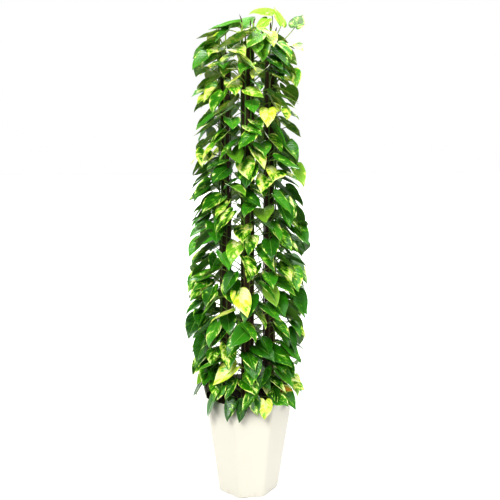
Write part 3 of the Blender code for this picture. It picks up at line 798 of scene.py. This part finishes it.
def make_pole(node, looks):
    """Rough fibre pole: an uneven core wrapped in loose strands."""
    chance = random.Random(node.name)
    low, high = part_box(node.name)
    centre = np.array(((low.x + high.x) / 2, (low.y + high.y) / 2, 0.0))
    radius = (high.x - low.x) / 2
    shape = Shape()
    heights = np.append(np.arange(low.z, high.z - 0.004, POLE_STEP), high.z - 0.002)
    angles = 2 * np.pi * np.arange(POLE_SIDES) / POLE_SIDES
    generator = np.random.default_rng(chance.randrange(1 << 30))
    ridges = smooth_noise(generator, len(heights), POLE_SIDES, 3) * 0.55
    ridges = ridges + smooth_noise(generator, len(heights), POLE_SIDES, 1) * 0.45
    spread = radius - 0.0012 + 0.0011 * ridges
    spread[-1] *= 0.93
    points, faces, corners = tube(np.stack([heights * 0 + centre[0], heights * 0 + centre[1], heights], 1),
                                  np.ones(len(heights)), POLE_SIDES)
    ring = np.stack([np.cos(angles), np.sin(angles)], 1)
    points = np.concatenate([(centre[:2] + spread[:, :, None] * ring).reshape(-1, 2), points[:, 2:]], 1)
    shape.add(points, faces, corners, (0.01, 0.01, 0.8, 0.98))
    for i in range(FIBRES):
        z = chance.uniform(low.z + 0.20, high.z - 0.05)
        angle = chance.uniform(0, 2 * math.pi)
        length = chance.uniform(0.02, 0.07)
        path = []
        for t in np.linspace(0, 1, len(FIBRE_RADII)):
            r = radius - 0.0006 + 0.0014 * math.sin(math.pi * t) * chance.uniform(0.2, 1.0)
            a = angle + chance.gauss(0, 0.05) + 0.45 * t * chance.uniform(-1, 1)
            path.append((centre[0] + r * math.cos(a), centre[1] + r * math.sin(a), z + length * t))
        row, column = divmod(i, FIBRE_COLUMNS)
        shape.add(*tube(path, FIBRE_RADII, 4),
                  strip_cell(column, FIBRE_COLUMNS, 0.01 + 0.16 * row, 0.15 + 0.16 * row), 1,
                  seed=chance.random())
    piece = shape.make(node.name + "_bark", looks, sharp=75)
    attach(piece, "root")
    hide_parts(node.name)


def smooth_noise(generator, rows, columns, width):
    """Random values that vary smoothly round and less smoothly upward, about -1..1."""
    values = generator.uniform(-1, 1, (rows, columns))
    kernel = np.ones(2 * width + 1) / (2 * width + 1)
    values = sum(np.roll(values, k, axis=1) * kernel[k + width] for k in range(-width, width + 1))
    values = sum(np.roll(values, k, axis=0) for k in range(-2, 3)) / 5
    return values / max(1e-9, np.abs(values).max())


def make_tie(node, look):
    """Coated wire round a pole and its stems, its ends twisted together."""
    chance = random.Random(node.name)
    low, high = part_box(node.name)
    wire = (high.z - low.z) / 2
    centre = np.array((low + high) / 2)
    ring = (high.x - low.x) / 2 - wire
    outward = math.atan2(centre[1], centre[0]) + chance.uniform(-0.9, 0.9)
    points, faces, corners = [], [], []
    for i, a in enumerate(np.linspace(0, 2 * math.pi, TIE_STEPS + 1)[:-1]):
        for k in range(TIE_SIDES):
            b = 2 * math.pi * k / TIE_SIDES
            r = ring + wire * 0.95 * math.cos(b)
            z = wire * 0.95 * math.sin(b)
            points.append((centre[0] + r * math.cos(a), centre[1] + r * math.sin(a), centre[2] + z))
            here, ahead = i * TIE_SIDES, (i + 1) % TIE_STEPS * TIE_SIDES
            m = (k + 1) % TIE_SIDES
            faces.append([here + k, ahead + k, ahead + m, here + m])
            x, y = i / TIE_STEPS, k / TIE_SIDES
            right, top = x + 1 / TIE_STEPS, y + 1 / TIE_SIDES
            corners += [(x, y), (right, y), (right, top), (x, top)]
    shape = Shape()
    shape.add(points, faces, corners, (0.01, 0.01, 0.98, 0.45))
    knot = centre + ring * np.array((math.cos(outward), math.sin(outward), 0))
    away = np.array((math.cos(outward), math.sin(outward), 0.0))
    along = np.array((-math.sin(outward), math.cos(outward), 0.0))
    for end in (0, 1):
        path = []
        for t in np.linspace(0, 1, KNOT_RINGS):
            a = math.pi * end + 2 * KNOT_TURNS * math.pi * t
            down = np.array((0, 0, -1.0)) * (KNOT_DROP * t) + away * (0.0015 + 0.004 * t)
            path.append(knot + down + wire * 0.9 * (along * math.cos(a) + away * math.sin(a)))
        shape.add(*tube(path, wire * 0.9, 6), (0.01, 0.5 + 0.25 * end, 0.98, 0.22))
    piece = shape.make(node.name + "_wire", [look])
    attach(piece, "root")
    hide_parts(node.name)


def outer_foot_flat():
    """Distance from the axis to the planter's outer flats at its foot, read from the pot's solid."""
    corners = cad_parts["pot"].data.vertices
    low = min(v.co.z for v in corners)
    return max(v.co.x for v in corners if v.co.z < low + 0.002)


def soil_half_width(height):
    """Distance from the axis to the planter's inner flats at a height, which is the soil's half width."""
    pot_low, pot_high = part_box("pot")
    soil_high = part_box("soil")[1]
    slope = (pot_high.x - outer_foot_flat()) / (pot_high.z - pot_low.z)
    return soil_high.x - slope * (soil_high.z - height)


def make_crumbs(look):
    """Crumbs of soil, bark and pumice that cover the soil's top, one piece lying on the soil solid."""
    chance = random.Random(7)
    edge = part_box("soil")[1].z - SOIL_MOUND - 0.001
    limit = soil_half_width(edge) - EDGE_CLEARANCE
    poles = [np.array(sum((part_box(name)[k].xy for k in (0, 1)), Vector((0, 0))) / 2)
             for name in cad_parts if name.startswith("fibre_pole")]
    shape = Shape()
    base = bmesh.new()
    bmesh.ops.create_icosphere(base, subdivisions=2, radius=1.0)
    ball = np.array([v.co[:] for v in base.verts])
    faces = [[v.index for v in f.verts] for f in base.faces]
    base.free()
    corners = [(0.5 + 0.5 * ball[k][0], 0.5 + 0.5 * ball[k][1]) for face in faces for k in face]
    placed = 0
    while placed < CRUMBS:
        x, y = chance.uniform(-limit, limit), chance.uniform(-limit, limit)
        if max(abs(x + y), abs(x - y)) > limit * math.sqrt(2):
            continue
        if any(np.hypot(x - p[0], y - p[1]) < POLE_CLEARANCE for p in poles):
            continue
        size = chance.uniform(*CRUMB_SIZES) * (1.35 if chance.random() < 0.12 else 1.0)
        stretch = np.array([chance.uniform(0.6, 1.3), chance.uniform(0.6, 1.3), chance.uniform(0.45, 0.9)])
        rough = np.array([1 + chance.uniform(-0.16, 0.16) for _ in ball])
        turn = chance.uniform(0, math.pi)
        spin = np.array(((math.cos(turn), -math.sin(turn), 0), (math.sin(turn), math.cos(turn), 0), (0, 0, 1)))
        rise = edge + SOIL_MOUND * (1 - min(1.0, np.hypot(x, y) / limit)) + chance.uniform(-0.001, 0.0028)
        points = (ball * rough[:, None] * stretch * size) @ spin.T + np.array((x, y, rise))
        row, column = divmod(placed, CRUMB_COLUMNS)
        cell = ((column + 0.05) / CRUMB_COLUMNS, (row + 0.05) / CRUMB_COLUMNS, 0.9 / CRUMB_COLUMNS,
                0.9 / CRUMB_COLUMNS)
        shape.add(points, faces, corners, cell, seed=chance.random())
        placed += 1
    piece = shape.make("soil_crumbs", [look])
    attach(piece, "root")


def make_net(node, look):
    """Woven drainage net: a round of crossing strands with a rim."""
    low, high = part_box(node.name)
    radius = (high.x - low.x) / 2
    middle = (low.z + high.z) / 2
    strand = (high.z - low.z) / 4
    shape = Shape()
    count = int(radius / NET_PITCH)
    for turn in (0, 1):
        for i in range(-count, count + 1):
            offset = i * NET_PITCH
            reach = math.sqrt(max(0.0, (radius - strand) ** 2 - offset ** 2))
            if reach < NET_SHORTEST:
                continue
            steps = np.linspace(-reach, reach, max(3, int(reach / NET_STEP)))
            wave = strand * 0.9 * np.cos(np.pi * steps / NET_PITCH + math.pi * (i + turn))
            cross = steps * 0 + offset
            path = np.stack([steps, cross, middle + wave] if turn else [cross, steps, middle + wave], 1)
            cell = strip_cell(i + count, 2 * count + 1, 0.5 * turn, 0.5 * turn + 0.42)
            shape.add(*tube(path, strand * 0.95, 4), cell)
    circle = np.linspace(0, 2 * math.pi, 65)
    reach = radius - strand
    rim = np.stack([reach * np.cos(circle), reach * np.sin(circle), middle + circle * 0], 1)
    shape.add(*tube(rim, strand * 1.4, 6), (0.01, 0.93, 0.98, 0.06))
    piece = shape.make("drain_net_woven", [look])
    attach(piece, "root")
    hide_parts(node.name)


# ---- planter

def round_octagon(flat, corner, height):
    """Points of an octagon with rounded corners, flat from the axis to a side."""
    corner = min(corner, flat * 0.5)
    points = []
    steps = POT_CORNER_STEPS
    inset = (flat - corner) / math.cos(math.pi / 8)
    for i in range(8):
        middle = math.radians(22.5 + 45 * i)
        for k in range(steps + 1):
            a = middle + math.radians(-22.5 + 45 * k / steps)
            points.append((inset * math.cos(middle) + corner * math.cos(a),
                           inset * math.sin(middle) + corner * math.sin(a), height))
    return points


def make_pot(node, look):
    """Eight-sided tapering planter with soft corners, a rounded lip and drain holes."""
    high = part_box(node.name)[1]
    top_flat, foot_flat = high.x, outer_foot_flat()
    height = high.z
    floor = sorted({round(v.co.z, 4) for v in node.data.vertices if 0.005 < v.co.z < 0.05})[-1]
    wall = top_flat - max(v.co.x for v in node.data.vertices if abs(v.co.z - floor) < 1e-4) \
        - (top_flat - foot_flat) * (height - floor) / height
    slope = (top_flat - foot_flat) / height
    profile = []
    for k in range(POT_FOOT_STEPS + 1):
        a = math.pi / 2 * k / POT_FOOT_STEPS
        profile.append((foot_flat - POT_FOOT_EDGE * (1 - math.sin(a)), POT_FOOT_EDGE * (1 - math.cos(a))))
    for share in np.linspace(0.04, 0.985, POT_OUTER_ROWS):
        profile.append((foot_flat + slope * height * share, height * share))
    lip_out = top_flat - POT_LIP
    for k in range(POT_LIP_STEPS + 1):
        a = math.pi * k / POT_LIP_STEPS
        profile.append((lip_out + POT_LIP * math.cos(a) + (wall / 2 - POT_LIP) * (math.cos(a) - 1),
                        height - POT_LIP + POT_LIP * math.sin(a)))
    for share in np.linspace(0.96, 0.06, POT_INNER_ROWS):
        z = floor + (height - floor) * share
        profile.append((foot_flat + slope * z - wall, z))
    inner_flat = foot_flat + slope * floor - wall
    profile += [(inner_flat, floor + POT_FLOOR_EDGE), (inner_flat - POT_FLOOR_EDGE, floor)]
    points = []
    for flat, z in profile:
        points += round_octagon(flat, POT_CORNER * (flat / top_flat) ** 0.5, z)
    around = 8 * (POT_CORNER_STEPS + 1)
    shape = Shape()
    faces, corners = ring_faces(len(profile), around, len(profile))
    faces.append(list(range(around))[::-1])
    faces.append(list(range((len(profile) - 1) * around, len(profile) * around)))
    corners += [(0.5 + 0.4 * math.cos(k), 0.96 + 0.03 * math.sin(k)) for k in range(2 * around)]
    shape.add(points, faces, corners, (0.0, 0.0, 1.0, 1.0))
    piece = shape.make("pot_shell", [look], sharp=42)
    drill_holes(piece, floor)
    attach(piece, "root")
    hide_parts(node.name)


def drill_holes(piece, floor):
    """Cuts the drain holes through the planter's floor."""
    cutters = bmesh.new()
    for i in range(DRAIN_HOLES):
        a = 2 * math.pi * (i + 0.5) / DRAIN_HOLES
        made = bmesh.ops.create_cone(cutters, cap_ends=True, segments=32, radius1=DRAIN_RADIUS,
                                     radius2=DRAIN_RADIUS, depth=floor * 4)
        bmesh.ops.translate(cutters, verts=made["verts"],
                            vec=(DRAIN_CIRCLE * math.cos(a), DRAIN_CIRCLE * math.sin(a), 0))
    mesh = bpy.data.meshes.new("hole_cutters")
    cutters.to_mesh(mesh)
    cutters.free()
    cutter = add_object("hole_cutters", mesh)
    boolean = piece.modifiers.new("holes", "BOOLEAN")
    boolean.operation = "DIFFERENCE"
    boolean.object = cutter
    bpy.context.view_layer.update()
    evaluated = piece.evaluated_get(bpy.context.evaluated_depsgraph_get())
    cut = bpy.data.meshes.new_from_object(evaluated)
    piece.modifiers.clear()
    piece.data = cut
    bpy.data.objects.remove(cutter)


# ---- stage, light and camera

def make_stage():
    """Pale floor that runs into a white surround."""
    mesh = bpy.data.meshes.new("floor")
    corners = [(x * FLOOR_REACH, y * FLOOR_REACH, 0) for x, y in ((-1, -1), (1, -1), (1, 1), (-1, 1))]
    mesh.from_pydata(corners, [], [(0, 1, 2, 3)])
    mesh.materials.append(floor_look())
    floor = add_object("floor", mesh)
    # Seen directly the surround is white; as a light it is dimmer, so that the foliage keeps its depth.
    floor.visible_diffuse = False
    world = bpy.data.worlds.new("white_studio")
    world.use_nodes = True
    nodes, links = world.node_tree.nodes, world.node_tree.links
    nodes["Background"].inputs["Color"].default_value = (1.0, 1.0, 1.0, 1.0)
    seen = nodes.new("ShaderNodeLightPath").outputs["Is Camera Ray"]
    strength = nodes.new("ShaderNodeMapRange")
    strength.inputs["To Min"].default_value = AMBIENT
    strength.inputs["To Max"].default_value = 1.0
    links.new(seen, strength.inputs["Value"])
    links.new(strength.outputs["Result"], nodes["Background"].inputs["Strength"])
    bpy.context.scene.world = world


def make_lights():
    """Distant soft lights from all sides."""
    for name, origin, strength, width in SUNS:
        lamp = bpy.data.lights.new(name, "SUN")
        lamp.energy = strength
        lamp.angle = math.radians(width)
        add_object(name, lamp).rotation_euler = Vector(origin).to_track_quat("Z", "Y").to_euler()


def make_camera():
    """Stands a little left of the planter's front and looks slightly down."""
    turn, tilt = math.radians(CAMERA_TURN), math.radians(CAMERA_TILT)
    camera = bpy.data.cameras.new("camera")
    camera.lens = CAMERA_LENS
    camera.shift_x = CAMERA_SHIFT
    made = add_object("camera", camera)
    made.location = (CAMERA_DISTANCE * math.sin(turn), -CAMERA_DISTANCE * math.cos(turn), CAMERA_HEIGHT)
    made.rotation_euler = (math.pi / 2 - tilt, 0, turn)
    scene = bpy.context.scene
    scene.camera = made
    scene.view_settings.view_transform = "Standard"
    scene.view_settings.gamma = GAMMA


# ---- the whole

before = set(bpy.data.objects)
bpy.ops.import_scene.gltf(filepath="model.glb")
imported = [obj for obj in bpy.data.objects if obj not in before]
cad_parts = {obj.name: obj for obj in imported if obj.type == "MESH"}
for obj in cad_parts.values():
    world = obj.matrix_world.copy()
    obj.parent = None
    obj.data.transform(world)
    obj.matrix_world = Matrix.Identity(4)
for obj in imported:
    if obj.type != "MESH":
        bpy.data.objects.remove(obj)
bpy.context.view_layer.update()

make_camera()
make_stage()
make_lights()

vine_looks = [leaf_look(), stalk_look(), stem_look(), root_look()]
fibre_looks = [pole_look(), vine_looks[3]]
wire, crumb = tie_look(), soil_look()
shared_topology = blade_topology()
for node_name, cad_node in sorted(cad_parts.items()):
    if node_name.startswith("vine"):
        pole_low, pole_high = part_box("fibre_pole_" + node_name[5])
        pole_axis = np.array(((pole_low.x + pole_high.x) / 2, (pole_low.y + pole_high.y) / 2, 0.0))
        make_vine(cad_node, pole_axis, vine_looks, shared_topology)
    elif node_name.startswith("fibre_pole"):
        make_pole(cad_node, fibre_looks)
    elif node_name.startswith("tie"):
        make_tie(cad_node, wire)
make_pot(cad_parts["pot"], pot_look())
make_net(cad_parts["drain_net"], net_look())
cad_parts["soil"].data.materials[0] = crumb
make_crumbs(crumb)
